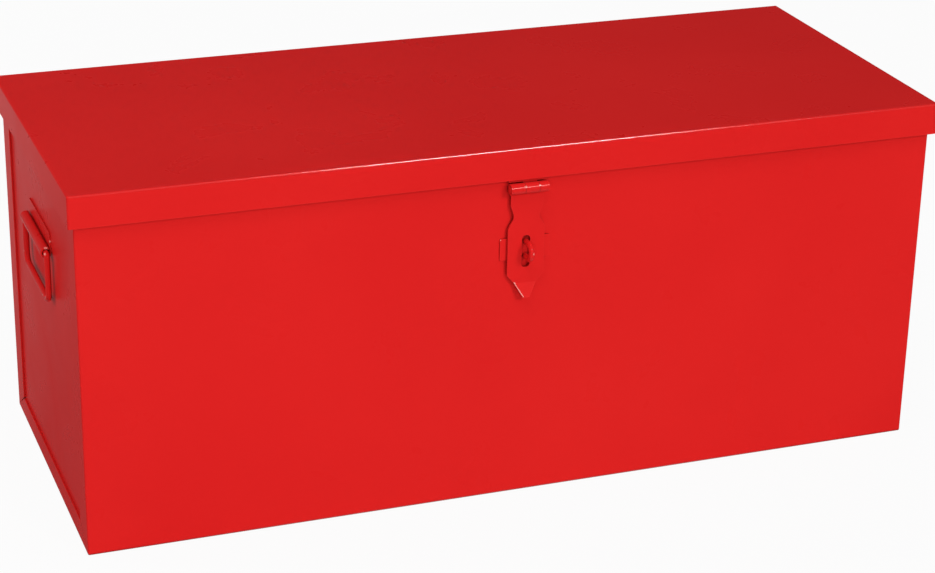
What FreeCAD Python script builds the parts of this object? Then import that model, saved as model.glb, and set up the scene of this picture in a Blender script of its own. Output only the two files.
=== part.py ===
import FreeCAD, Part
import math
import os

import Sketcher

# Steel jobsite box: a folded body with recessed end panels, a lid with four skirts on two rear
# hinges, a hasp over a padlock staple, a drop ring handle at each end and a slotted lid stay.
# X runs along the front, the front faces -Y, Z is up and the floor's underside is at Z = 0.

doc = FreeCAD.newDocument("jobsite_box")
sheet = doc.addObject("Spreadsheet::Sheet", "sizes")

SIZES = {
    # casing
    "body_length": 819,
    "body_depth": 329,
    "lid_top": 345,
    "plate": 1.0,
    "inside_bend": 1.0,
    "lid_gap": 4.5,
    "seat_gap": 0.5,
    "skirt_depth": 30,
    "end_border": 30,
    "floor_border": 20,
    "border_layers": 2,
    "mitre_gap": 0.9,
    "hem_width": 12,
    "panel_fit": 0.2,
    "border_round": 1.6,
    "rim_round": 0.8,
    # rear hinges
    "hinge_offset": 250,
    "hinge_width": 70,
    "hinge_leaf": 1.5,
    "hinge_pin_fit": 0.08,
    "hinge_fall": 30,
    "hinge_rise": 27,
    "hinge_corner": 3,
    "hinge_pin_overhang": 1,
    "knuckle_gap": 0.4,
    "hinge_under_skirt": 4.5,
    "rivet_pitch": 25,
    "rivet_radius": 2,
    "rivet_head": 3.8,
    "rivet_head_top": 1.9,
    "rivet_head_height": 1.4,
    "rivet_tail": 3,
    "rivet_tail_top": 2.1,
    "rivet_tail_height": 1.2,
    "rivet_fit": 0.05,
    "body_rivet_drop": 19,
    "lid_rivet_rise": 17,
    "pin_chamfer_share": 0.2,
    # hasp on the lid
    "hasp_leaf": 2,
    "hasp_pin": 2.9,
    "hasp_pin_fit": 0.09,
    "hasp_pin_overhang": 2,
    "hasp_drop": 7.4,
    "hasp_width": 36,
    "hasp_split_low": -4.5,
    "hasp_split_high": 9,
    "hasp_leaf_rise": 18,
    "strap_heel_round": 2,
    "strap_neck": 15.5,
    "strap_neck_drop": 8,
    "strap_neck_round": 4,
    "strap_neck_end_drop": 18,
    "strap_waist": 11.6,
    "strap_waist_drop": 29,
    "strap_waist_round": 7,
    "strap_body": 17.6,
    "strap_shoulder_drop": 39,
    "strap_body_round": 6,
    "strap_body_end_drop": 85,
    "strap_tab_half": 10.5,
    "strap_tab_drop": 93,
    "strap_tab_round": 3,
    "strap_tab_angle": 20,
    "strap_tip_half": 3,
    "strap_tip_drop": 106,
    "strap_tip_round": 1.5,
    "slot_width": 8,
    "slot_corner": 3.2,
    "slot_height": 31,
    "slot_drop": 62.5,
    # staple on the front
    "staple_drop": 60,
    "staple_wire": 2.6,
    "staple_half": 9.8,
    "staple_reach": 21,
    "staple_bend_share": 0.9,
    "staple_plate_width": 48,
    "staple_plate_height": 21,
    "staple_plate_thick": 1.5,
    "staple_fit": 0.1,
    "staple_head": 3.8,
    "staple_head_height": 1.4,
    # ring handles
    "handle_height": 247,
    "handle_length": 96,
    "handle_leaf": 1.5,
    "handle_plate_rise": 18,
    "handle_corner": 3,
    "ring_wire": 2.8,
    "ring_fit": 0.75,
    "ring_end_gap": 0.8,
    "ring_drop": 46,
    "ring_corner": 9,
    "roll_seam": 0.6,
    # lid stay
    "lid_open_angle": 100,
    "stay_reach": 138,
    "stay_hang": 12,
    "stay_stud_angle": 30,
    "stay_arm_thick": 2.5,
    "stay_arm_half": 8,
    "stay_standoff": 6,
    "stay_side_gap": 0.3,
    "stay_ear": 2,
    "stay_ear_margin": 1,
    "stay_ear_corner": 6.4,
    "stay_foot": 22,
    "stay_pivot": 3,
    "stay_pivot_fit": 0.1,
    "stay_head": 5.5,
    "stay_head_height": 1.6,
    "stay_tail_height": 0.8,
    "stay_stud": 3,
    "stay_slot_fit": 0.3,
    "stay_end_roundness": 0.95,
    "stay_collar": 6,
}

for row, (name, number) in enumerate(SIZES.items(), start=1):
    sheet.set(f"A{row}", name)
    sheet.set(f"B{row}", str(number))
    sheet.setAlias(f"B{row}", name)
doc.recompute()

PLATE = "sizes.plate"
HALF_LENGTH = "(sizes.body_length / 2)"
HALF_DEPTH = "(sizes.body_depth / 2)"
INNER_DEPTH = f"({HALF_DEPTH} - {PLATE})"
OUTER_BEND = f"({PLATE} + sizes.inside_bend)"
LID_BOTTOM = "(sizes.lid_top - sizes.skirt_depth)"
LID_UNDERSIDE = f"(sizes.lid_top - {PLATE})"
RIM = f"({LID_UNDERSIDE} - sizes.seat_gap)"
HEM_BOTTOM = f"({RIM} - sizes.hem_width)"
LID_HALF_LENGTH = f"({HALF_LENGTH} + sizes.lid_gap + {PLATE})"
LID_HALF_DEPTH = f"({HALF_DEPTH} + sizes.lid_gap + {PLATE})"

# The hinge barrel fills the step from the body's back to the outside of the riveted lid leaf.
HINGE_ROLL = f"((sizes.lid_gap + {PLATE} + sizes.hinge_leaf) / 2)"
HINGE_PIN = f"({HINGE_ROLL} - sizes.hinge_leaf - sizes.hinge_pin_fit)"
HINGE_Y = f"({HALF_DEPTH} + {HINGE_ROLL})"
HINGE_Z = f"({LID_BOTTOM} - sizes.hinge_under_skirt)"

# The hasp leaf is welded inside the skirt, so the strap stands off the front by the rest of the gap.
HASP_ROLL = "(sizes.hasp_pin + sizes.hasp_pin_fit + sizes.hasp_leaf)"
HASP_Y = f"(-{HALF_DEPTH} - sizes.lid_gap + sizes.hasp_leaf - {HASP_ROLL})"
HASP_Z = f"({LID_BOTTOM} - sizes.hasp_drop)"
STAPLE_Z = f"({HASP_Z} - sizes.staple_drop)"
STAPLE_LEG = "(sizes.staple_half - sizes.staple_wire)"

ROLL = "(sizes.ring_wire + sizes.ring_fit + sizes.handle_leaf)"
BORDER = f"(sizes.border_layers * {PLATE})"
END_FACE = f"({HALF_LENGTH} - {BORDER})"
END_INSIDE = f"({END_FACE} - {PLATE})"

# Pivot on the lid and stud on the body lie on one circle round the hinge axis, so the stay's arm
# always turns through half the lid's angle.
STAY_RISE = f"({LID_UNDERSIDE} - sizes.stay_hang - {HINGE_Z})"
STAY_RADIUS = f"sqrt(sizes.stay_reach ^ 2 + {STAY_RISE} ^ 2)"
PIVOT_ANGLE = f"atan2({STAY_RISE}; sizes.stay_reach)"
STUD_ANGLE = "(sizes.stay_stud_angle * 1 deg)"
STAY_CLOSED = f"(2 * {STAY_RADIUS} * sin(({PIVOT_ANGLE} + {STUD_ANGLE}) / 2))"
OPEN_ANGLE = "(sizes.lid_open_angle * 1 deg)"
STAY_OPEN = f"(2 * {STAY_RADIUS} * sin(({PIVOT_ANGLE} + {STUD_ANGLE} + {OPEN_ANGLE}) / 2))"
PIVOT_Y = f"({HINGE_Y} - sizes.stay_reach)"
PIVOT_Z = f"({HINGE_Z} + {STAY_RISE})"
STUD_Y = f"({HINGE_Y} - {STAY_RADIUS} * cos({STUD_ANGLE}))"
STUD_Z = f"({HINGE_Z} - {STAY_RADIUS} * sin({STUD_ANGLE}))"
ARM_OUTSIDE = f"({END_INSIDE} - sizes.stay_standoff)"

# Rivet and leg holes are cut this deep, half to each side of the face they start on.
HOLE_CUT = f"(4 * {PLATE})"
HINGE_HOLE_CUT = "(4 * sizes.hinge_leaf)"

ALONG_X = FreeCAD.Vector(1, 0, 0)
UP = FreeCAD.Vector(0, 0, 1)
HALF_TURN = 180
KNUCKLE_PLACES = 5

parts = []


def value(expression):
    """The number that an expression has with the present sizes."""
    result = sheet.evalExpression(expression)
    return float(getattr(result, "Value", result))


def negative(expression):
    return f"-({expression})"


def new_body(label):
    """An empty sub-part whose label names its file."""
    body = doc.addObject("PartDesign::Body", label)
    body.Label = label
    body.AllowCompound = True
    parts.append(body)
    return body


def place(part, x="0", y="0", z="0", axis=UP, angle="0"):
    """Put a sub-part in the box's frame, turned about an axis by an angle in degrees."""
    turn = FreeCAD.Rotation(axis, value(angle))
    part.Placement = FreeCAD.Placement(FreeCAD.Vector(value(x), value(y), value(z)), turn)
    part.setExpression("Placement.Base.x", x)
    part.setExpression("Placement.Base.y", y)
    part.setExpression("Placement.Base.z", z)
    if value(angle):
        part.setExpression("Placement.Rotation.Angle", f"{angle} * 1 deg")


def sketch_on(body, role, offset="0"):
    """A sketch on one of the body's own origin planes, moved along the plane's normal."""
    sketch = body.newObject("Sketcher::SketchObject", f"{body.Name}_sketch")
    plane = [item for item in body.Origin.OriginFeatures if item.Role == role][0]
    sketch.AttachmentSupport = (plane, [""])
    sketch.MapMode = "FlatFace"
    sketch.setExpression("AttachmentOffset.Base.z", offset)
    return sketch


def bind(sketch, kind, references, expression):
    """Add a dimension whose number follows an expression."""
    index = sketch.addConstraint(Sketcher.Constraint(kind, *references, value(expression)))
    sketch.setExpression(f"Constraints[{index}]", expression)


def pin_point(sketch, geometry, position, across, up):
    bind(sketch, "DistanceX", (-1, 1, geometry, position), across)
    bind(sketch, "DistanceY", (-1, 1, geometry, position), up)


def add_circle(sketch, across, up, radius):
    centre = FreeCAD.Vector(value(across), value(up), 0)
    circle = sketch.addGeometry(Part.Circle(centre, UP, value(radius)))
    pin_point(sketch, circle, 3, across, up)
    bind(sketch, "Radius", (circle,), radius)


def add_outline(sketch, corners, closed=True):
    """Draw lines through corners given as (across, up) or, rounded, as (across, up, radius)."""
    points = [FreeCAD.Vector(value(corner[0]), value(corner[1]), 0) for corner in corners]
    radii = [value(corner[2]) if len(corner) > 2 else 0 for corner in corners]
    count = len(corners)
    arrive = list(points)
    leave = list(points)
    for i, radius in enumerate(radii):
        if radius:
            back = (points[i - 1] - points[i]).normalize()
            ahead = (points[(i + 1) % count] - points[i]).normalize()
            reach = radius / math.tan(back.getAngle(ahead) / 2)
            arrive[i] = points[i] + back * reach
            leave[i] = points[i] + ahead * reach
    lines = []
    for i in range(count if closed else count - 1):
        line = Part.LineSegment(leave[i], arrive[(i + 1) % count])
        lines.append(sketch.addGeometry(line))
    for i, corner in enumerate(corners):
        if not closed and i == 0:
            pin_point(sketch, lines[0], 1, *corner[:2])
        elif not closed and i == count - 1:
            pin_point(sketch, lines[-1], 2, *corner[:2])
        elif radii[i]:
            round_corner(sketch, lines[i - 1], lines[i], points[i], arrive[i], leave[i], corner)
        else:
            sketch.addConstraint(Sketcher.Constraint("Coincident", lines[i - 1], 2, lines[i], 1))
            pin_point(sketch, lines[i], 1, *corner[:2])


def round_corner(sketch, before, after, point, arrive, leave, corner):
    """Join two lines by a tangent arc and keep their sharp corner as a fixed point."""
    radius = value(corner[2])
    middle = (arrive + leave) * 0.5
    towards = (middle - point).normalize()
    spread = (arrive - point).getAngle(leave - point) / 2
    centre = point + towards * (radius / math.sin(spread))
    turns_left = (point - arrive).cross(leave - point).z > 0
    first, last = (arrive, leave) if turns_left else (leave, arrive)
    start = math.atan2(first.y - centre.y, first.x - centre.x)
    end = math.atan2(last.y - centre.y, last.x - centre.x)
    if end < start:
        end += 2 * math.pi
    arc = sketch.addGeometry(Part.ArcOfCircle(Part.Circle(centre, UP, radius), start, end))
    arrive_end, leave_end = (1, 2) if turns_left else (2, 1)
    sketch.addConstraint(Sketcher.Constraint("Tangent", before, 2, arc, arrive_end))
    sketch.addConstraint(Sketcher.Constraint("Tangent", after, 1, arc, leave_end))
    bind(sketch, "Radius", (arc,), corner[2])
    mark = sketch.addGeometry(Part.Point(point), True)
    pin_point(sketch, mark, 1, *corner[:2])
    sketch.addConstraint(Sketcher.Constraint("PointOnObject", mark, 1, before))
    sketch.addConstraint(Sketcher.Constraint("PointOnObject", mark, 1, after))


def add_rectangle(sketch, left, right, low, high, *radius):
    """A rectangle with its sides at the given places, and all corners rounded if a radius is given."""
    corners = [(left, low), (right, low), (right, high), (left, high)]
    add_outline(sketch, [corner + radius for corner in corners])


def grow(body, sketch, length, both=False, backwards=False):
    """Pad a sketch along its normal, against it, or half each way."""
    pad = body.newObject("PartDesign::Pad", f"{body.Name}_pad")
    pad.Profile = sketch
    pad.setExpression("Length", length)
    pad.SideType = "Symmetric" if both else "One side"
    pad.Reversed = backwards
    return pad


def cut(body, sketch, depth):
    """Pocket a sketch half the depth to each side of its plane."""
    pocket = body.newObject("PartDesign::Pocket", f"{body.Name}_pocket")
    pocket.Profile = sketch
    pocket.setExpression("Length", depth)
    pocket.SideType = "Symmetric"
    return pocket


def cut_through(body, sketch):
    """Pocket a sketch right through the body, both ways."""
    pocket = body.newObject("PartDesign::Pocket", f"{body.Name}_pocket")
    pocket.Profile = sketch
    pocket.Type = "ThroughAll"
    pocket.SideType = "Symmetric"
    return pocket


def sweep(body, profile, spine):
    """Carry a profile along a path."""
    pipe = body.newObject("PartDesign::AdditivePipe", f"{body.Name}_pipe")
    pipe.Profile = profile
    doc.recompute()
    edges = [f"Edge{i + 1}" for i in range(len(spine.Shape.Edges))]
    pipe.Spine = (spine, edges)
    return pipe


def round_edges(body, radius, chosen):
    """Fillet each edge of the body's present shape for which chosen(middle, direction) is true."""
    doc.recompute()
    tip = body.Tip
    names = []
    for i, edge in enumerate(tip.Shape.Edges):
        half = (edge.FirstParameter + edge.LastParameter) / 2
        if chosen(edge.valueAt(half), edge.tangentAt(half)):
            names.append(f"Edge{i + 1}")
    fillet = body.newObject("PartDesign::Fillet", f"{body.Name}_fillet")
    fillet.Base = (tip, names)
    fillet.setExpression("Radius", radius)
    return fillet


def near(first, second):
    tolerance = 0.01
    return abs(first - second) < tolerance


# Casing


def make_body_wrap():
    """Front, floor and back folded from one plate, its borders round the open ends folded double."""
    wrap = new_body("body_wrap")
    front = negative(HALF_DEPTH)
    section = sketch_on(wrap, "YZ_Plane")
    add_outline(section, [
        (front, RIM),
        (front, "0", OUTER_BEND),
        (HALF_DEPTH, "0", OUTER_BEND),
        (HALF_DEPTH, RIM),
        (INNER_DEPTH, RIM),
        (INNER_DEPTH, PLATE, "sizes.inside_bend"),
        (negative(INNER_DEPTH), PLATE, "sizes.inside_bend"),
        (negative(INNER_DEPTH), RIM),
    ])
    grow(wrap, section, "sizes.body_length", both=True)

    border_y = f"({HALF_DEPTH} - sizes.end_border)"
    for offset, backwards in ((HALF_LENGTH, True), (negative(HALF_LENGTH), False)):
        border = sketch_on(wrap, "YZ_Plane", offset)
        add_outline(border, [
            (front, RIM),
            (front, "0", OUTER_BEND),
            (HALF_DEPTH, "0", OUTER_BEND),
            (HALF_DEPTH, RIM),
            (border_y, RIM),
            (border_y, "sizes.floor_border"),
            (negative(border_y), "sizes.floor_border"),
            (negative(border_y), RIM),
        ])
        grow(wrap, border, BORDER, backwards=backwards)

    for side in ("-1", "1"):
        hem = sketch_on(wrap, "YZ_Plane")
        wall = f"{side} * {INNER_DEPTH}"
        inside = f"{side} * ({INNER_DEPTH} - {PLATE})"
        left, right = (wall, inside) if side == "-1" else (inside, wall)
        add_rectangle(hem, left, right, HEM_BOTTOM, RIM)
        grow(wrap, hem, f"2 * ({END_INSIDE} - sizes.panel_fit)", both=True)

    mitres = sketch_on(wrap, "YZ_Plane")
    for side in ("-1", "1"):
        add_outline(mitres, [
            (f"{side} * {border_y}", "sizes.floor_border + sizes.mitre_gap"),
            (f"{side} * ({HALF_DEPTH} - {OUTER_BEND})", OUTER_BEND),
            (f"{side} * ({border_y} - sizes.mitre_gap)", "sizes.floor_border"),
            (f"{side} * ({border_y} - sizes.mitre_gap)", "sizes.floor_border + sizes.mitre_gap"),
        ])
    cut_through(wrap, mitres)

    def on_end_edge(middle, direction):
        at_end = near(abs(middle.x), value(HALF_LENGTH)) and near(direction.x, 0)
        upright = near(abs(middle.y), value(HALF_DEPTH))
        below = middle.z < value(OUTER_BEND)
        return at_end and (upright or below)

    round_edges(wrap, "sizes.border_round", on_end_edge)

    def on_rim(middle, direction):
        along_top = near(middle.z, value(RIM)) and near(abs(direction.x), 1)
        outside = near(abs(middle.y), value(HALF_DEPTH))
        inside = near(abs(middle.y), value(INNER_DEPTH) - value(PLATE))
        return along_top and (outside or inside)

    round_edges(wrap, "sizes.rim_round", on_rim)

    rivets = sketch_on(wrap, "XZ_Plane", negative(HALF_DEPTH))
    for x in rivet_places():
        height = f"{HINGE_Z} - sizes.body_rivet_drop"
        add_circle(rivets, x, height, "sizes.rivet_radius + sizes.rivet_fit")
    cut(wrap, rivets, HOLE_CUT)

    legs = sketch_on(wrap, "XZ_Plane", HALF_DEPTH)
    for side in ("-1", "1"):
        height = f"{STAPLE_Z} + {side} * {STAPLE_LEG}"
        add_circle(legs, "0", height, "sizes.staple_wire + sizes.staple_fit")
    cut(wrap, legs, HOLE_CUT)


def make_end_panel(label, side, angle):
    """A flat panel welded behind the borders of one open end, with its top edge hemmed inwards."""
    panel = new_body(label)
    half = f"({INNER_DEPTH} - sizes.panel_fit)"
    low = f"{PLATE} + sizes.panel_fit"
    corner = "sizes.inside_bend + sizes.panel_fit"
    face = sketch_on(panel, "YZ_Plane")
    add_outline(face, [
        (negative(half), low, corner),
        (half, low, corner),
        (half, RIM),
        (negative(half), RIM),
    ])
    grow(panel, face, PLATE, backwards=True)
    hem = sketch_on(panel, "YZ_Plane", negative(PLATE))
    hem_half = f"({half} - {PLATE})"
    add_rectangle(hem, negative(hem_half), hem_half, HEM_BOTTOM, RIM)
    grow(panel, hem, PLATE, backwards=True)
    place(panel, x=f"{side} * {END_FACE}", angle=angle)


def make_lid_shell():
    """The lid: a top plate with a skirt folded down on all four sides."""
    lid = new_body("lid_shell")
    outside = sketch_on(lid, "XY_Plane", LID_BOTTOM)
    half_x, half_y = LID_HALF_LENGTH, LID_HALF_DEPTH
    add_rectangle(outside, negative(half_x), half_x, negative(half_y), half_y, OUTER_BEND)
    grow(lid, outside, "sizes.skirt_depth")
    top = value("sizes.lid_top")
    round_edges(lid, OUTER_BEND, lambda middle, direction: near(middle.z, top))

    hollow = sketch_on(lid, "XY_Plane", LID_BOTTOM)
    inner_x, inner_y = f"({half_x} - {PLATE})", f"({half_y} - {PLATE})"
    bend = "sizes.inside_bend"
    add_rectangle(hollow, negative(inner_x), inner_x, negative(inner_y), inner_y, bend)
    cut(lid, hollow, f"2 * (sizes.skirt_depth - {PLATE})")

    rivets = sketch_on(lid, "XZ_Plane", negative(LID_HALF_DEPTH))
    for x in rivet_places():
        height = f"{HINGE_Z} + sizes.lid_rivet_rise"
        add_circle(rivets, x, height, "sizes.rivet_radius + sizes.rivet_fit")
    cut(lid, rivets, HOLE_CUT)


# Rear hinges


def rivet_places():
    """Places along X of the rivets that hold both hinges, three to a leaf."""
    return [
        f"{side} * sizes.hinge_offset + {step} * sizes.rivet_pitch"
        for side in (-1, 1)
        for step in (-1, 0, 1)
    ]


def make_hinge_leaf(label, side, reach, knuckles, rivet_reach, bore, angle):
    """A hinge leaf drawn hanging below its axis, with rolled knuckles on some of its places."""
    leaf = new_body(label)
    half = "(sizes.hinge_width / 2)"
    back = negative(HINGE_ROLL)
    front = f"sizes.hinge_leaf - {HINGE_ROLL}"
    shoulder = f"-({HINGE_ROLL} + sizes.knuckle_gap)"
    plate = sketch_on(leaf, "XZ_Plane", HINGE_ROLL)
    low = negative(reach)
    corner = ("sizes.hinge_corner",)
    add_outline(plate, [
        (negative(half), low) + corner,
        (half, low) + corner,
        (half, shoulder),
        (negative(half), shoulder),
    ])
    grow(leaf, plate, "sizes.hinge_leaf", backwards=True)

    pitch = f"sizes.hinge_width / {KNUCKLE_PLACES}"
    width = f"({pitch} - sizes.knuckle_gap)"
    for knuckle in knuckles:
        start = f"({knuckle} * {pitch} - {half} + sizes.knuckle_gap / 2)"
        web = sketch_on(leaf, "YZ_Plane", start)
        add_rectangle(web, back, front, shoulder, "0")
        grow(leaf, web, width)
        barrel = sketch_on(leaf, "YZ_Plane", start)
        add_circle(barrel, "0", "0", HINGE_ROLL)
        grow(leaf, barrel, width)

    hole = sketch_on(leaf, "YZ_Plane")
    add_circle(hole, "0", "0", bore)
    cut_through(leaf, hole)

    rivets = sketch_on(leaf, "XZ_Plane", HINGE_ROLL)
    for step in (-1, 0, 1):
        radius = "sizes.rivet_radius + sizes.rivet_fit"
        add_circle(rivets, f"{step} * sizes.rivet_pitch", negative(rivet_reach), radius)
    cut(leaf, rivets, HINGE_HOLE_CUT)
    place(leaf, x=f"{side} * sizes.hinge_offset", y=HINGE_Y, z=HINGE_Z, axis=ALONG_X, angle=angle)


def make_pin(label, radius, length, x, y, z):
    """A plain hinge pin along X, its ends chamfered."""
    pin = new_body(label)
    section = sketch_on(pin, "YZ_Plane")
    add_circle(section, "0", "0", radius)
    pad = grow(pin, section, length, both=True)
    doc.recompute()
    chamfer = pin.newObject("PartDesign::Chamfer", f"{label}_chamfer")
    rims = [i for i, edge in enumerate(pad.Shape.Edges) if isinstance(edge.Curve, Part.Circle)]
    chamfer.Base = (pad, [f"Edge{i + 1}" for i in rims])
    chamfer.setExpression("Size", f"{radius} * sizes.pin_chamfer_share")
    place(pin, x=x, y=y, z=z)


def make_rivets(label, head_face, tail_face, height):
    """One row of rivets through both leaves on one side of the hinges, heads outwards."""
    group = doc.addObject("Part::Compound", label)
    group.Label = label
    rivets = []
    for x in rivet_places():
        shank = doc.addObject("Part::Cylinder", f"{label}_shank")
        shank.setExpression("Radius", "sizes.rivet_radius")
        shank.setExpression("Height", f"{head_face} - {tail_face}")
        place(shank, x=x, y=head_face, z=height, axis=ALONG_X, angle="90")
        head = doc.addObject("Part::Cone", f"{label}_head")
        head.setExpression("Radius1", "sizes.rivet_head")
        head.setExpression("Radius2", "sizes.rivet_head_top")
        head.setExpression("Height", "sizes.rivet_head_height")
        place(head, x=x, y=head_face, z=height, axis=ALONG_X, angle="-90")
        tail = doc.addObject("Part::Cone", f"{label}_tail")
        tail.setExpression("Radius1", "sizes.rivet_tail")
        tail.setExpression("Radius2", "sizes.rivet_tail_top")
        tail.setExpression("Height", "sizes.rivet_tail_height")
        place(tail, x=x, y=tail_face, z=height, axis=ALONG_X, angle="90")
        rivet = doc.addObject("Part::MultiFuse", f"{label}_rivet")
        rivet.Shapes = [shank, head, tail]
        rivets.append(rivet)
    group.Links = rivets
    parts.append(group)


# Hasp and staple


def make_hasp_leaf():
    """The short leaf welded inside the front skirt, with the middle knuckle of the hasp."""
    leaf = new_body("hasp_leaf")
    half = "(sizes.hasp_width / 2)"
    inside = HASP_ROLL
    outside = f"{HASP_ROLL} - sizes.hasp_leaf"
    shoulder = f"{HASP_ROLL} + sizes.knuckle_gap"
    plate = sketch_on(leaf, "XZ_Plane", negative(HASP_ROLL))
    top = "sizes.hasp_drop + sizes.hasp_leaf_rise"
    corner = ("sizes.hasp_leaf",)
    add_outline(plate, [
        (negative(half), shoulder),
        (half, shoulder),
        (half, top) + corner,
        (negative(half), top) + corner,
    ])
    grow(leaf, plate, "sizes.hasp_leaf")
    start = "(sizes.hasp_split_low + sizes.knuckle_gap / 2)"
    width = "(sizes.hasp_split_high - sizes.hasp_split_low - sizes.knuckle_gap)"
    web = sketch_on(leaf, "YZ_Plane", start)
    add_rectangle(web, outside, inside, "0", shoulder)
    grow(leaf, web, width)
    barrel = sketch_on(leaf, "YZ_Plane", start)
    add_circle(barrel, "0", "0", HASP_ROLL)
    grow(leaf, barrel, width)
    hole = sketch_on(leaf, "YZ_Plane")
    add_circle(hole, "0", "0", "sizes.hasp_pin")
    cut_through(leaf, hole)
    place(leaf, y=HASP_Y, z=HASP_Z)


def make_hasp_strap():
    """The swinging strap: two knuckles, a waist, a staple slot and a tab bent out for the finger."""
    strap = new_body("hasp_strap")
    inside = HASP_ROLL
    outside = f"{HASP_ROLL} - sizes.hasp_leaf"
    lift = "((sizes.strap_tip_drop - sizes.strap_tab_drop) * tan(sizes.strap_tab_angle * 1 deg))"
    side_view = sketch_on(strap, "YZ_Plane")
    add_outline(side_view, [
        (inside, "0"),
        (outside, "0"),
        (outside, "-sizes.strap_tab_drop"),
        (f"{outside} - {lift}", "-sizes.strap_tip_drop"),
        (f"{inside} - {lift}", "-sizes.strap_tip_drop"),
        (inside, "-sizes.strap_tab_drop"),
    ])
    grow(strap, side_view, "sizes.hasp_width", both=True)

    left = [
        ("-sizes.hasp_width / 2", f"-{HASP_ROLL}", "sizes.strap_heel_round"),
        ("-sizes.strap_neck", "-sizes.strap_neck_drop", "sizes.strap_neck_round"),
        ("-sizes.strap_neck", "-sizes.strap_neck_end_drop", "sizes.strap_waist_round"),
        ("-sizes.strap_waist", "-sizes.strap_waist_drop", "sizes.strap_waist_round"),
        ("-sizes.strap_body", "-sizes.strap_shoulder_drop", "sizes.strap_body_round"),
        ("-sizes.strap_body", "-sizes.strap_body_end_drop", "sizes.strap_body_round"),
        ("-sizes.strap_tab_half", "-sizes.strap_tab_drop", "sizes.strap_tab_round"),
        ("-sizes.strap_tip_half", "-sizes.strap_tip_drop", "sizes.strap_tip_round"),
    ]
    right = [(negative(x), z, radius) for x, z, radius in reversed(left)]
    above = f"2 * {HASP_ROLL}"
    outer = "sizes.hasp_width"
    trim = sketch_on(strap, "XZ_Plane")
    add_rectangle(trim, negative(outer), outer, "-2 * sizes.strap_tip_drop", f"2 * ({above})")
    add_outline(trim, left + right + [(f"{outer} / 2", above), (f"-{outer} / 2", above)])
    cut_through(strap, trim)

    window = sketch_on(strap, "XZ_Plane")
    low = "sizes.hasp_split_low - sizes.knuckle_gap / 2"
    high = "sizes.hasp_split_high + sizes.knuckle_gap / 2"
    add_rectangle(window, low, high, f"-{HASP_ROLL} - sizes.knuckle_gap", above)
    half_slot = "(sizes.slot_height / 2)"
    half_width = "(sizes.slot_width / 2)"
    middle = "-sizes.slot_drop"
    add_rectangle(window, negative(half_width), half_width, f"{middle} - {half_slot}",
                  f"{middle} + {half_slot}", "sizes.slot_corner")
    cut_through(strap, window)

    spans = (
        ("-sizes.hasp_width / 2", low),
        (high, "sizes.hasp_width / 2"),
    )
    for start, end in spans:
        barrel = sketch_on(strap, "YZ_Plane", start)
        add_circle(barrel, "0", "0", HASP_ROLL)
        grow(strap, barrel, f"({end}) - ({start})")
    hole = sketch_on(strap, "YZ_Plane")
    add_circle(hole, "0", "0", "sizes.hasp_pin + sizes.hasp_pin_fit")
    cut_through(strap, hole)
    place(strap, y=HASP_Y, z=HASP_Z)


def make_staple():
    """The padlock staple: a backing plate and a round wire loop peened over inside the front."""
    plate = new_body("staple_plate")
    face = sketch_on(plate, "XZ_Plane")
    half_width = "(sizes.staple_plate_width / 2)"
    half_height = "(sizes.staple_plate_height / 2)"
    corner = "sizes.staple_plate_thick"
    add_rectangle(face, negative(half_width), half_width, negative(half_height), half_height, corner)
    for side in ("-1", "1"):
        radius = "sizes.staple_wire + sizes.staple_fit"
        add_circle(face, "0", f"{side} * {STAPLE_LEG}", radius)
    grow(plate, face, "sizes.staple_plate_thick")
    place(plate, y=negative(HALF_DEPTH), z=STAPLE_Z)

    loop = new_body("staple_loop")
    nose = "sizes.staple_wire - sizes.staple_reach"
    bend = f"{STAPLE_LEG} * sizes.staple_bend_share"
    path = sketch_on(loop, "YZ_Plane")
    add_outline(path, [
        (PLATE, STAPLE_LEG),
        (nose, STAPLE_LEG, bend),
        (nose, negative(STAPLE_LEG), bend),
        (PLATE, negative(STAPLE_LEG)),
    ], closed=False)
    wire = sketch_on(loop, "XZ_Plane", negative(PLATE))
    add_circle(wire, "0", STAPLE_LEG, "sizes.staple_wire")
    sweep(loop, wire, path)
    heads = sketch_on(loop, "XZ_Plane", negative(PLATE))
    for side in ("-1", "1"):
        add_circle(heads, "0", f"{side} * {STAPLE_LEG}", "sizes.staple_head")
    grow(loop, heads, "sizes.staple_head_height", backwards=True)
    place(loop, y=negative(HALF_DEPTH), z=STAPLE_Z)


# Ring handles


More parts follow.
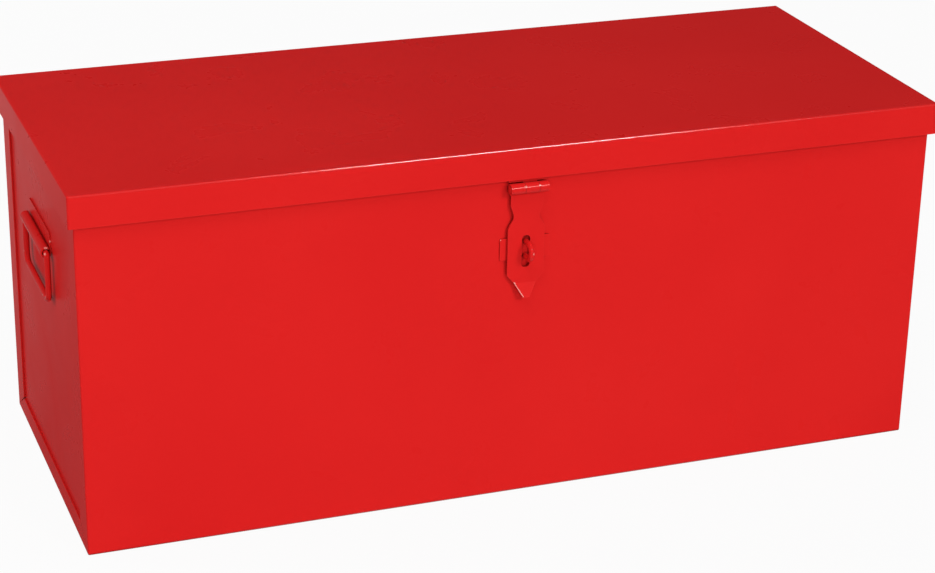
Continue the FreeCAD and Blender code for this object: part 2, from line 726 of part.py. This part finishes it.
def make_handle(name, side, angle):
    """A plate rolled into a barrel, and the closed wire ring that swings in it."""
    bracket = new_body(f"{name}_handle_bracket")
    leaf = "sizes.handle_leaf"
    plate = sketch_on(bracket, "XZ_Plane")
    add_rectangle(plate, "0", leaf, "0", "sizes.handle_plate_rise")
    grow(bracket, plate, "sizes.handle_length", both=True)
    rise = value("sizes.handle_plate_rise")

    def on_top_corner(middle, direction):
        return near(middle.z, rise) and near(abs(direction.x), 1)

    round_edges(bracket, "sizes.handle_corner", on_top_corner)
    barrel = sketch_on(bracket, "XZ_Plane")
    add_circle(barrel, ROLL, "0", ROLL)
    grow(bracket, barrel, "sizes.handle_length", both=True)
    hollow = sketch_on(bracket, "XZ_Plane")
    add_circle(hollow, ROLL, "0", f"{ROLL} - {leaf}")
    cut_through(bracket, hollow)
    seam = sketch_on(bracket, "XZ_Plane")
    add_rectangle(seam, leaf, f"{leaf} + sizes.roll_seam", "0", f"2 * {ROLL}")
    cut_through(bracket, seam)
    place(bracket, x=f"{side} * {END_FACE}", z="sizes.handle_height", angle=angle)

    ring = new_body(f"{name}_handle_ring")
    half = "(sizes.handle_length / 2 + sizes.ring_end_gap + sizes.ring_wire)"
    corner = "sizes.ring_corner"
    path = sketch_on(ring, "YZ_Plane", ROLL)
    add_outline(path, [
        ("0", "0"),
        (half, "0", "sizes.ring_wire + sizes.ring_end_gap"),
        (half, "-sizes.ring_drop", corner),
        (negative(half), "-sizes.ring_drop", corner),
        (negative(half), "0", "sizes.ring_wire + sizes.ring_end_gap"),
    ])
    wire = sketch_on(ring, "XZ_Plane")
    add_circle(wire, ROLL, "0", "sizes.ring_wire")
    sweep(ring, wire, path)
    place(ring, x=f"{side} * {END_FACE}", z="sizes.handle_height", angle=angle)


# Lid stay


def make_stay_lid_bracket():
    """An angle welded under the lid whose ear carries the stay's pivot."""
    bracket = new_body("stay_lid_bracket")
    half = "(sizes.stay_arm_half + sizes.stay_ear_margin)"
    ear_inside = f"({ARM_OUTSIDE} + sizes.stay_side_gap)"
    ear = sketch_on(bracket, "YZ_Plane", ear_inside)
    corner = "sizes.stay_ear_corner"
    add_outline(ear, [
        (negative(half), "sizes.stay_hang"),
        (negative(half), negative(half), corner),
        (half, negative(half), corner),
        (half, "sizes.stay_hang"),
    ])
    grow(bracket, ear, "sizes.stay_ear")
    foot = sketch_on(bracket, "XY_Plane", "sizes.stay_hang")
    right = f"{ear_inside} + sizes.stay_ear"
    add_rectangle(foot, f"{right} - sizes.stay_foot", right, negative(half), half)
    grow(bracket, foot, "sizes.stay_ear", backwards=True)
    hole = sketch_on(bracket, "YZ_Plane")
    add_circle(hole, "0", "0", "sizes.stay_pivot")
    cut_through(bracket, hole)
    place(bracket, y=PIVOT_Y, z=PIVOT_Z)


def make_stay_rivet():
    """The headed rivet on which the stay's arm turns."""
    rivet = new_body("stay_pivot_rivet")
    arm_inside = f"({ARM_OUTSIDE} - sizes.stay_arm_thick - sizes.stay_side_gap)"
    ear_outside = f"({ARM_OUTSIDE} + sizes.stay_side_gap + sizes.stay_ear)"
    shank = sketch_on(rivet, "YZ_Plane", arm_inside)
    add_circle(shank, "0", "0", "sizes.stay_pivot")
    grow(rivet, shank, f"{ear_outside} - {arm_inside}")
    head = sketch_on(rivet, "YZ_Plane", arm_inside)
    add_circle(head, "0", "0", "sizes.stay_head")
    grow(rivet, head, "sizes.stay_head_height", backwards=True)
    tail = sketch_on(rivet, "YZ_Plane", ear_outside)
    add_circle(tail, "0", "0", "sizes.stay_head")
    grow(rivet, tail, "sizes.stay_tail_height")
    place(rivet, y=PIVOT_Y, z=PIVOT_Z)


def make_stay_arm():
    """The slotted arm, drawn hanging from its pivot and turned to pass over the stud."""
    arm = new_body("stay_arm")
    half = "sizes.stay_arm_half"
    slot_half = "(sizes.stay_stud + sizes.stay_slot_fit)"
    flat = sketch_on(arm, "YZ_Plane", ARM_OUTSIDE)
    low = f"-({STAY_OPEN}) - {half} - {slot_half}"
    add_rectangle(flat, negative(half), half, low, half, f"{half} * sizes.stay_end_roundness")
    add_circle(flat, "0", "0", "sizes.stay_pivot + sizes.stay_pivot_fit")
    add_rectangle(flat, negative(slot_half), slot_half, f"-({STAY_OPEN}) - {slot_half}",
                  f"-({STAY_CLOSED}) + {slot_half}", f"{slot_half} * sizes.stay_end_roundness")
    grow(arm, flat, "sizes.stay_arm_thick", backwards=True)
    lean = f"((sizes.stay_stud_angle - {PIVOT_ANGLE} / 1 deg) / 2)"
    place(arm, y=PIVOT_Y, z=PIVOT_Z, axis=ALONG_X, angle=lean)


def make_stay_stud():
    """The shouldered stud welded inside the right end panel, on which the arm's slot slides."""
    stud = new_body("stay_stud")
    collar = sketch_on(stud, "YZ_Plane", END_INSIDE)
    add_circle(collar, "0", "0", "sizes.stay_collar")
    grow(stud, collar, "sizes.stay_standoff - sizes.stay_side_gap", backwards=True)
    shoulder_start = f"({ARM_OUTSIDE} + sizes.stay_side_gap)"
    shoulder = sketch_on(stud, "YZ_Plane", shoulder_start)
    add_circle(shoulder, "0", "0", "sizes.stay_stud")
    length = "(sizes.stay_arm_thick + 2 * sizes.stay_side_gap)"
    grow(stud, shoulder, length, backwards=True)
    head = sketch_on(stud, "YZ_Plane", f"{shoulder_start} - {length}")
    add_circle(head, "0", "0", "sizes.stay_head")
    grow(stud, head, "sizes.stay_head_height", backwards=True)
    place(stud, y=STUD_Y, z=STUD_Z)


def make_all():
    make_body_wrap()
    make_end_panel("left_end_panel", "-1", str(HALF_TURN))
    make_end_panel("right_end_panel", "1", "0")
    make_lid_shell()
    for name, side in (("left", "-1"), ("right", "1")):
        make_hinge_leaf(f"{name}_hinge_body_leaf", side, "sizes.hinge_fall", (0, 2, 4),
                        "sizes.body_rivet_drop", HINGE_PIN, "0")
        make_hinge_leaf(f"{name}_hinge_lid_leaf", side, "sizes.hinge_rise", (1, 3),
                        "sizes.lid_rivet_rise", f"{HINGE_PIN} + sizes.hinge_pin_fit", str(HALF_TURN))
        make_pin(f"{name}_hinge_pin", HINGE_PIN, "sizes.hinge_width + sizes.hinge_pin_overhang",
                 f"{side} * sizes.hinge_offset", HINGE_Y, HINGE_Z)
    body_back = f"({HALF_DEPTH} + sizes.hinge_leaf)"
    make_rivets("hinge_body_rivets", body_back, INNER_DEPTH, f"{HINGE_Z} - sizes.body_rivet_drop")
    skirt_inside = f"({HALF_DEPTH} + sizes.lid_gap)"
    lid_back = f"({LID_HALF_DEPTH} + sizes.hinge_leaf)"
    make_rivets("hinge_lid_rivets", lid_back, skirt_inside, f"{HINGE_Z} + sizes.lid_rivet_rise")
    make_hasp_leaf()
    make_pin("hasp_pin", "sizes.hasp_pin", "sizes.hasp_width + sizes.hasp_pin_overhang",
             "0", HASP_Y, HASP_Z)
    make_hasp_strap()
    make_staple()
    make_handle("left", "-1", str(HALF_TURN))
    make_handle("right", "1", "0")
    make_stay_lid_bracket()
    make_stay_rivet()
    make_stay_arm()
    make_stay_stud()


def check_and_write():
    """Stop if any feature failed, then write each sub-part's solid to its own file."""
    doc.recompute()
    for item in doc.Objects:
        if {"Invalid", "Error"} & set(item.State):
            raise RuntimeError(f"{item.Name} failed: {item.getStatusString()}")
    os.makedirs("parts", exist_ok=True)
    for part in parts:
        shape = part.Shape
        if shape.isNull() or not shape.isValid() or shape.Volume <= 0:
            raise RuntimeError(f"{part.Label} has no valid solid")
        shape.exportStep(f"parts/{part.Label}.step")
        print(f"{part.Label}: {len(shape.Solids)} solid, {shape.Volume / 1000:.2f} cm3")


make_all()
check_and_write()
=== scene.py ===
"""Looks, light and camera for the jobsite box. Every shape comes from the frame's solids."""
import math

import bpy
from mathutils import Matrix, Vector

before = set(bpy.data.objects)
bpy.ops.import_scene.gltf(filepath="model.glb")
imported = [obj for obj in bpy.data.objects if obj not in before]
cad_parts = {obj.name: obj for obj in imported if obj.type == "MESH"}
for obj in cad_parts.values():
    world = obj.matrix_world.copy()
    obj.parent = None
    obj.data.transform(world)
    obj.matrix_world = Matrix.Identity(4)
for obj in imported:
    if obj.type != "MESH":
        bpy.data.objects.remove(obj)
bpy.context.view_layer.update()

# Colours

RED = (0.74, 0.017, 0.016, 1)
DARK_RED = (0.70, 0.014, 0.014, 1)
LIGHT_RED = (0.78, 0.020, 0.018, 1)
# painted shade, laid into corners, seams and under the lid's skirt
SHADE_RED = (0.22, 0.004, 0.003, 1)
# painted highlight along sharp outward edges
HIGHLIGHT_RED = (0.92, 0.06, 0.05, 1)
GLOSS_TINT = (1, 0.6, 0.55, 1)
# pale pink for chipped paint and for painted highlights
CHIP_AND_GLINT_PINK = (0.98, 0.34, 0.30, 1)
STEEL = (0.50, 0.50, 0.49, 1)
PALE_STEEL = (0.66, 0.65, 0.62, 1)
FLOOR_GREY = (0.54, 0.54, 0.54, 1)
PALE_FLOOR_GREY = (0.56, 0.56, 0.56, 1)
WHITE = (1, 1, 1, 1)

# Chipped paint and painted highlights (glints), as centre and radius in metres

CHIPS_AND_GLINTS = (
    # painted highlights on the hasp leaf's knuckle
    ((-0.0045, -0.1762, 0.3103), 0.0012),
    ((0.0090, -0.1762, 0.3103), 0.0012),
    # painted highlights on the staple and its plate
    ((0.0020, -0.1853, 0.2480), 0.0016),
    ((-0.0240, -0.1660, 0.2575), 0.0010),
    # left handle's barrel end and ring: chipped paint and painted highlights
    ((-0.4090, -0.0480, 0.2575), 0.0014),
    ((-0.4125, -0.0480, 0.2518), 0.0020),
    ((-0.4145, -0.0520, 0.2475), 0.0014),
    ((-0.4153, 0.0516, 0.2110), 0.0011),
    ((-0.4153, -0.0350, 0.2010), 0.0013),
)
# Painted highlight along the left edge of the hasp's finger tab, laid as a line of chips.
TAB_EDGE_GLINT = (Vector((-0.0105, -0.1690, 0.2146)), Vector((-0.0030, -0.1737, 0.2016)))
TAB_STEPS = 14
CHIPS_AND_GLINTS += ((TAB_EDGE_GLINT[0], 0.0014),)
CHIPS_AND_GLINTS += tuple((TAB_EDGE_GLINT[0].lerp(TAB_EDGE_GLINT[1], step / TAB_STEPS), 0.0010) for step in range(1, TAB_STEPS))
CHIP_CORE = 0.55  # share of the radius that is bare
CHIP_RAGGEDNESS = 0.0004

# Pieces that aren't plain painted sheet

ZINC_NODES = {
    "left_hinge_pin", "right_hinge_pin",
    "stay_lid_bracket", "stay_pivot_rivet", "stay_arm", "stay_stud",
}
CHIPPED_AND_GLINTED_NODES = {
    "hasp_leaf", "hasp_pin", "hasp_strap", "staple_loop", "staple_plate",
    "left_handle_bracket", "left_handle_ring", "right_handle_bracket", "right_handle_ring",
}

# Stage and camera

AMBIENT = 0.20  # light from all round
FLOOR_HALF = 30.0
FLOOR_WHITENESS = 0.95  # to the camera; the rest is lit floor, which holds the shadow
GLARE_SLANT = 4.0  # how fast the floor's glare narrows to each side of the box
BOX_MIDDLE = (0, 0, 0.2)
LEFT_END = (-0.41, 0, 0.2)
LID_FRONT = (0, -0.1, 0.3)
CAMERA_PLACE = Vector((-0.77464, -2.08762, 1.08312))
CAMERA_AHEAD = Vector((0.32325, 0.86258, -0.38917)).normalized()
CAMERA_ROLL = math.radians(1.149)


# Node helpers, for a material or the world

def new_material(name):
    material = bpy.data.materials.new(name)
    material.use_nodes = True
    material.node_tree.nodes.clear()
    return material, add_node(material, "ShaderNodeBsdfPrincipled")


def add_node(owner, kind, **settings):
    node = owner.node_tree.nodes.new(kind)
    for name, setting in settings.items():
        setattr(node, name, setting)
    return node


def link(owner, source, target):
    owner.node_tree.links.new(source, target)


def set_inputs(node, **values):
    for name, value in values.items():
        node.inputs[name.replace("_", " ")].default_value = value


def show(owner, source, output_kind="ShaderNodeOutputMaterial"):
    """Make a finished shader the surface of a material or the world."""
    link(owner, source, add_node(owner, output_kind).inputs["Surface"])


def split_xyz(owner, vector):
    node = add_node(owner, "ShaderNodeSeparateXYZ")
    link(owner, vector, node.inputs["Vector"])
    return node.outputs


def noise(owner, coordinates, scale, detail, roughness, distortion=0.0):
    """Noise of a given number of waves per metre."""
    node = add_node(owner, "ShaderNodeTexNoise")
    set_inputs(node, Scale=scale, Detail=detail, Roughness=roughness, Distortion=distortion)
    link(owner, coordinates, node.inputs["Vector"])
    return node.outputs["Fac"]


def remap(owner, value, low, high, to_low=0.0, to_high=1.0, curve="LINEAR"):
    node = add_node(owner, "ShaderNodeMapRange", clamp=True, interpolation_type=curve)
    link(owner, value, node.inputs["Value"])
    set_inputs(node, From_Min=low, From_Max=high, To_Min=to_low, To_Max=to_high)
    return node.outputs["Result"]


def math_node(owner, operation, first, second=0.5):
    node = add_node(owner, "ShaderNodeMath", operation=operation)
    for socket, source in zip(node.inputs, (first, second)):
        if isinstance(source, (int, float)):
            socket.default_value = source
        else:
            link(owner, source, socket)
    return node.outputs["Value"]


def mix_color(owner, factor, first, second):
    node = add_node(owner, "ShaderNodeMix", data_type="RGBA")
    for socket, source in ((node.inputs[0], factor), (node.inputs[6], first), (node.inputs[7], second)):
        if isinstance(source, tuple):
            socket.default_value = source
        else:
            link(owner, source, socket)
    return node.outputs[2]


def bump(owner, height, distance, strength):
    node = add_node(owner, "ShaderNodeBump")
    set_inputs(node, Distance=distance, Strength=strength)
    link(owner, height, node.inputs["Height"])
    return node.outputs["Normal"]


def seen_directly(owner, rays):
    """One for the camera, also through glass."""
    return math_node(owner, "MAXIMUM", rays.outputs["Is Camera Ray"], rays.outputs["Is Transmission Ray"])


# Masks

def painted_highlight_mask(material, radius):
    """One on sharp outward edges, fading out over a radius in metres; it places the painted highlight."""
    bevel = add_node(material, "ShaderNodeBevel", samples=6)
    set_inputs(bevel, Radius=radius)
    geometry = add_node(material, "ShaderNodeNewGeometry")
    dot = add_node(material, "ShaderNodeVectorMath", operation="DOT_PRODUCT")
    link(material, bevel.outputs["Normal"], dot.inputs[0])
    link(material, geometry.outputs["Normal"], dot.inputs[1])
    return remap(material, dot.outputs["Value"], low=0.985, high=0.80)


def painted_shade_mask(material, reach):
    """One deep in corners and seams, zero on open faces; it places the painted shade."""
    hollow = add_node(material, "ShaderNodeAmbientOcclusion", samples=8)
    set_inputs(hollow, Distance=reach)
    return remap(material, hollow.outputs["AO"], low=0.75, high=0.35)


def chip_and_glint_mask(material, place, chips_and_glints):
    """One inside small ragged patches."""
    ragged = remap(material, noise(material, place, scale=1400, detail=2, roughness=0.6),
                   low=0.25, high=0.75, to_low=-CHIP_RAGGEDNESS, to_high=CHIP_RAGGEDNESS)
    total = 0.0
    for centre, radius in chips_and_glints:
        distance = add_node(material, "ShaderNodeVectorMath", operation="DISTANCE")
        link(material, place, distance.inputs[0])
        distance.inputs[1].default_value = centre
        reach = math_node(material, "ADD", distance.outputs["Value"], ragged)
        patch = remap(material, reach, low=radius, high=radius * CHIP_CORE)
        total = math_node(material, "MAXIMUM", patch, total)
    return total


def bend_mask(material, lengthwise):
    """One on rounded bends and rolled pieces, or only on bends along the front and back edges."""
    normal = add_node(material, "ShaderNodeTexCoord").outputs["Normal"]
    squared = add_node(material, "ShaderNodeVectorMath", operation="MULTIPLY")
    link(material, normal, squared.inputs[0])
    link(material, normal, squared.inputs[1])
    length = add_node(material, "ShaderNodeVectorMath", operation="LENGTH")
    link(material, squared.outputs["Vector"], length.inputs[0])
    mask = remap(material, length.outputs["Value"], low=0.993, high=0.965)
    if lengthwise:
        sideways = split_xyz(material, squared.outputs["Vector"])["X"]
        mask = math_node(material, "MULTIPLY", mask, remap(material, sideways, low=0.04, high=0.01))
    return mask


# Materials

def enamel(name, coat_ior, chips_and_glints=()):
    """Sprayed enamel: faint orange peel and clouds, a painted highlight on edges, painted shade in seams.

    Its gloss shows on the bends: on all of them on the small pieces of hardware, which carry chipped
    paint and painted highlights, and otherwise only along the front and back edges.
    """
    material, shader = new_material(name)
    place = add_node(material, "ShaderNodeTexCoord").outputs["Object"]
    cloud = noise(material, place, scale=4, detail=3, roughness=0.5)
    fine = noise(material, place, scale=220, detail=2, roughness=0.5)
    tone = mix_color(material, remap(material, cloud, low=0.3, high=0.7), DARK_RED, RED)
    tone = mix_color(material, remap(material, fine, low=0.3, high=0.7, to_high=0.08), tone, LIGHT_RED)
    # Painted shade: darker red in corners, seams and under overhangs, where shade falls.
    painted_shade = math_node(material, "MULTIPLY", painted_shade_mask(material, reach=0.007), 0.65)
    tone = mix_color(material, painted_shade, tone, SHADE_RED)
    # Painted highlight: lighter red along sharp edges, where light catches them.
    edge = math_node(material, "MULTIPLY", painted_highlight_mask(material, radius=0.0012), 0.30)
    tone = mix_color(material, edge, tone, HIGHLIGHT_RED)
    if chips_and_glints:
        # Chipped paint and painted highlights, both in pale pink.
        tone = mix_color(material, chip_and_glint_mask(material, place, chips_and_glints), tone, CHIP_AND_GLINT_PINK)
    link(material, tone, shader.inputs["Base Color"])
    smear = noise(material, place, scale=14, detail=4, roughness=0.6, distortion=0.4)
    roughness = remap(material, smear, low=0.3, high=0.75, to_low=0.26, to_high=0.33)
    link(material, roughness, shader.inputs["Roughness"])
    peel = noise(material, place, scale=380, detail=1, roughness=0.4)
    link(material, bump(material, peel, distance=0.00003, strength=0.25), shader.inputs["Normal"])
    link(material, bend_mask(material, lengthwise=not chips_and_glints), shader.inputs["Coat Weight"])
    set_inputs(shader, Specular_IOR_Level=0.06, Specular_Tint=GLOSS_TINT)
    set_inputs(shader, Coat_Roughness=0.12, Coat_IOR=coat_ior)
    show(material, shader.outputs["BSDF"])
    return material


def zinc(name):
    """Bright zinc plate with fine drawing marks and a little haze."""
    material, shader = new_material(name)
    place = add_node(material, "ShaderNodeTexCoord").outputs["Object"]
    haze = noise(material, place, scale=60, detail=4, roughness=0.6)
    tone = mix_color(material, remap(material, haze, low=0.3, high=0.7), STEEL, PALE_STEEL)
    link(material, tone, shader.inputs["Base Color"])
    stretch = add_node(material, "ShaderNodeMapping")
    set_inputs(stretch, Scale=(1, 1, 0.06))
    link(material, place, stretch.inputs["Vector"])
    lines = noise(material, stretch.outputs["Vector"], scale=2600, detail=2, roughness=0.5)
    roughness = remap(material, lines, low=0.3, high=0.7, to_low=0.26, to_high=0.44)
    link(material, roughness, shader.inputs["Roughness"])
    link(material, bump(material, lines, distance=0.00003, strength=0.3), shader.inputs["Normal"])
    set_inputs(shader, Metallic=1.0)
    show(material, shader.outputs["BSDF"])
    return material


def pale_floor(name):
    """Pale floor, white to the camera apart from a soft shadow.

    Reflections see it as a light of its own, dim all round and paler in a wedge behind the box.
    """
    material, shader = new_material(name)
    place = add_node(material, "ShaderNodeTexCoord").outputs["Object"]
    grain = noise(material, place, scale=30, detail=3, roughness=0.5)
    link(material, mix_color(material, grain, FLOOR_GREY, PALE_FLOOR_GREY), shader.inputs["Base Color"])
    set_inputs(shader, Roughness=0.9, Specular_IOR_Level=0.0)
    rays = add_node(material, "ShaderNodeLightPath")
    seen = seen_directly(material, rays)
    across = split_xyz(material, place)
    aside = math_node(material, "MULTIPLY", math_node(material, "ABSOLUTE", across["X"]), GLARE_SLANT)
    behind = math_node(material, "SUBTRACT", across["Y"], aside)
    glare = remap(material, behind, low=-1.59, high=-1.04, to_low=0.12, to_high=0.60)
    mirrored = math_node(material, "MULTIPLY", rays.outputs["Is Glossy Ray"], glare)
    glow = add_node(material, "ShaderNodeEmission")
    set_inputs(glow, Color=WHITE)
    link(material, math_node(material, "MAXIMUM", seen, mirrored), glow.inputs["Strength"])
    share = math_node(material, "MAXIMUM", math_node(material, "MULTIPLY", seen, FLOOR_WHITENESS),
                      rays.outputs["Is Glossy Ray"])
    blend = add_node(material, "ShaderNodeMixShader")
    link(material, share, blend.inputs["Fac"])
    link(material, shader.outputs["BSDF"], blend.inputs[1])
    link(material, glow.outputs["Emission"], blend.inputs[2])
    show(material, blend.outputs["Shader"])
    return material


def dress(nodes):
    paint = enamel("red_enamel", coat_ior=1.8)
    # The hardware carries chipped paint and painted highlights.
    chipped_and_glinted_paint = enamel("red_hardware", coat_ior=1.2, chips_and_glints=CHIPS_AND_GLINTS)
    zinc_plate = zinc("zinc_plate")
    for node, piece in nodes.items():
        finish = zinc_plate if node in ZINC_NODES else chipped_and_glinted_paint if node in CHIPPED_AND_GLINTED_NODES else paint
        for slot in piece.material_slots:
            slot.material = finish


# Stage, light and camera

def make_floor():
    mesh = bpy.data.meshes.new("floor")
    corners = [(x * FLOOR_HALF, y * FLOOR_HALF, 0) for x, y in ((-1, -1), (1, -1), (1, 1), (-1, 1))]
    mesh.from_pydata(corners, [], [(0, 1, 2, 3)])
    mesh.materials.append(pale_floor("pale_floor"))
    floor = bpy.data.objects.new("floor", mesh)
    bpy.context.collection.objects.link(floor)


def make_world():
    """White to the camera; dim light from all round; in reflections grey, paler at the horizon."""
    world = bpy.data.worlds.new("studio")
    bpy.context.scene.world = world
    world.use_nodes = True
    world.node_tree.nodes.clear()
    rays = add_node(world, "ShaderNodeLightPath")
    upward = split_xyz(world, add_node(world, "ShaderNodeTexCoord").outputs["Generated"])["Z"]
    sky = remap(world, upward, low=0.0, high=0.15, to_low=0.20, to_high=0.05, curve="SMOOTHSTEP")
    mirrored = math_node(world, "MULTIPLY", sky, rays.outputs["Is Glossy Ray"])
    lit = math_node(world, "MULTIPLY", rays.outputs["Is Diffuse Ray"], AMBIENT)
    indirect = math_node(world, "MAXIMUM", mirrored, lit)
    background = add_node(world, "ShaderNodeBackground")
    set_inputs(background, Color=WHITE)
    strength = math_node(world, "MAXIMUM", seen_directly(world, rays), indirect)
    link(world, strength, background.inputs["Strength"])
    show(world, background.outputs["Background"], output_kind="ShaderNodeOutputWorld")


def make_lamp(name, place, aim, width, height, power, mirrored=False):
    """A soft lamp, given in metres and watts. Only a mirrored one shows in reflections."""
    data = bpy.data.lights.new(name, "AREA")
    data.shape = "RECTANGLE"
    data.size = width
    data.size_y = height
    data.energy = power
    lamp = bpy.data.objects.new(name, data)
    lamp.location = place
    lamp.visible_glossy = mirrored
    lamp.rotation_mode = "QUATERNION"
    lamp.rotation_quaternion = (Vector(aim) - Vector(place)).to_track_quat("-Z", "Y")
    bpy.context.collection.objects.link(lamp)


def make_camera():
    """Stands in front of the left half, 1.1 m up, looking down at the box."""
    data = bpy.data.cameras.new("camera")
    data.sensor_width = 36
    data.lens = 95.0
    camera = bpy.data.objects.new("camera", data)
    turn = CAMERA_AHEAD.to_track_quat("-Z", "Y").to_matrix() @ Matrix.Rotation(CAMERA_ROLL, 3, "Z")
    camera.matrix_world = Matrix.Translation(CAMERA_PLACE) @ turn.to_4x4()
    bpy.context.collection.objects.link(camera)
    bpy.context.scene.camera = camera


dress(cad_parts)
make_floor()
make_world()
make_lamp("key", (2.4, -5.8, 3.8), BOX_MIDDLE, width=1.2, height=1.6, power=172, mirrored=True)
make_lamp("fill", (-0.9, -4.1, 0.9), BOX_MIDDLE, width=2.6, height=1.6, power=62)
make_lamp("overhead", (-0.9, -1.3, 3.3), LID_FRONT, width=2.0, height=1.6, power=32)
make_lamp("side", (-3.2, 1.7, 1.7), LEFT_END, width=0.7, height=0.7, power=48)
make_lamp("back", (0.6, 4.4, 0.6), BOX_MIDDLE, width=2.0, height=0.9, power=42)
make_camera()
bpy.context.scene.view_settings.view_transform = "Standard"
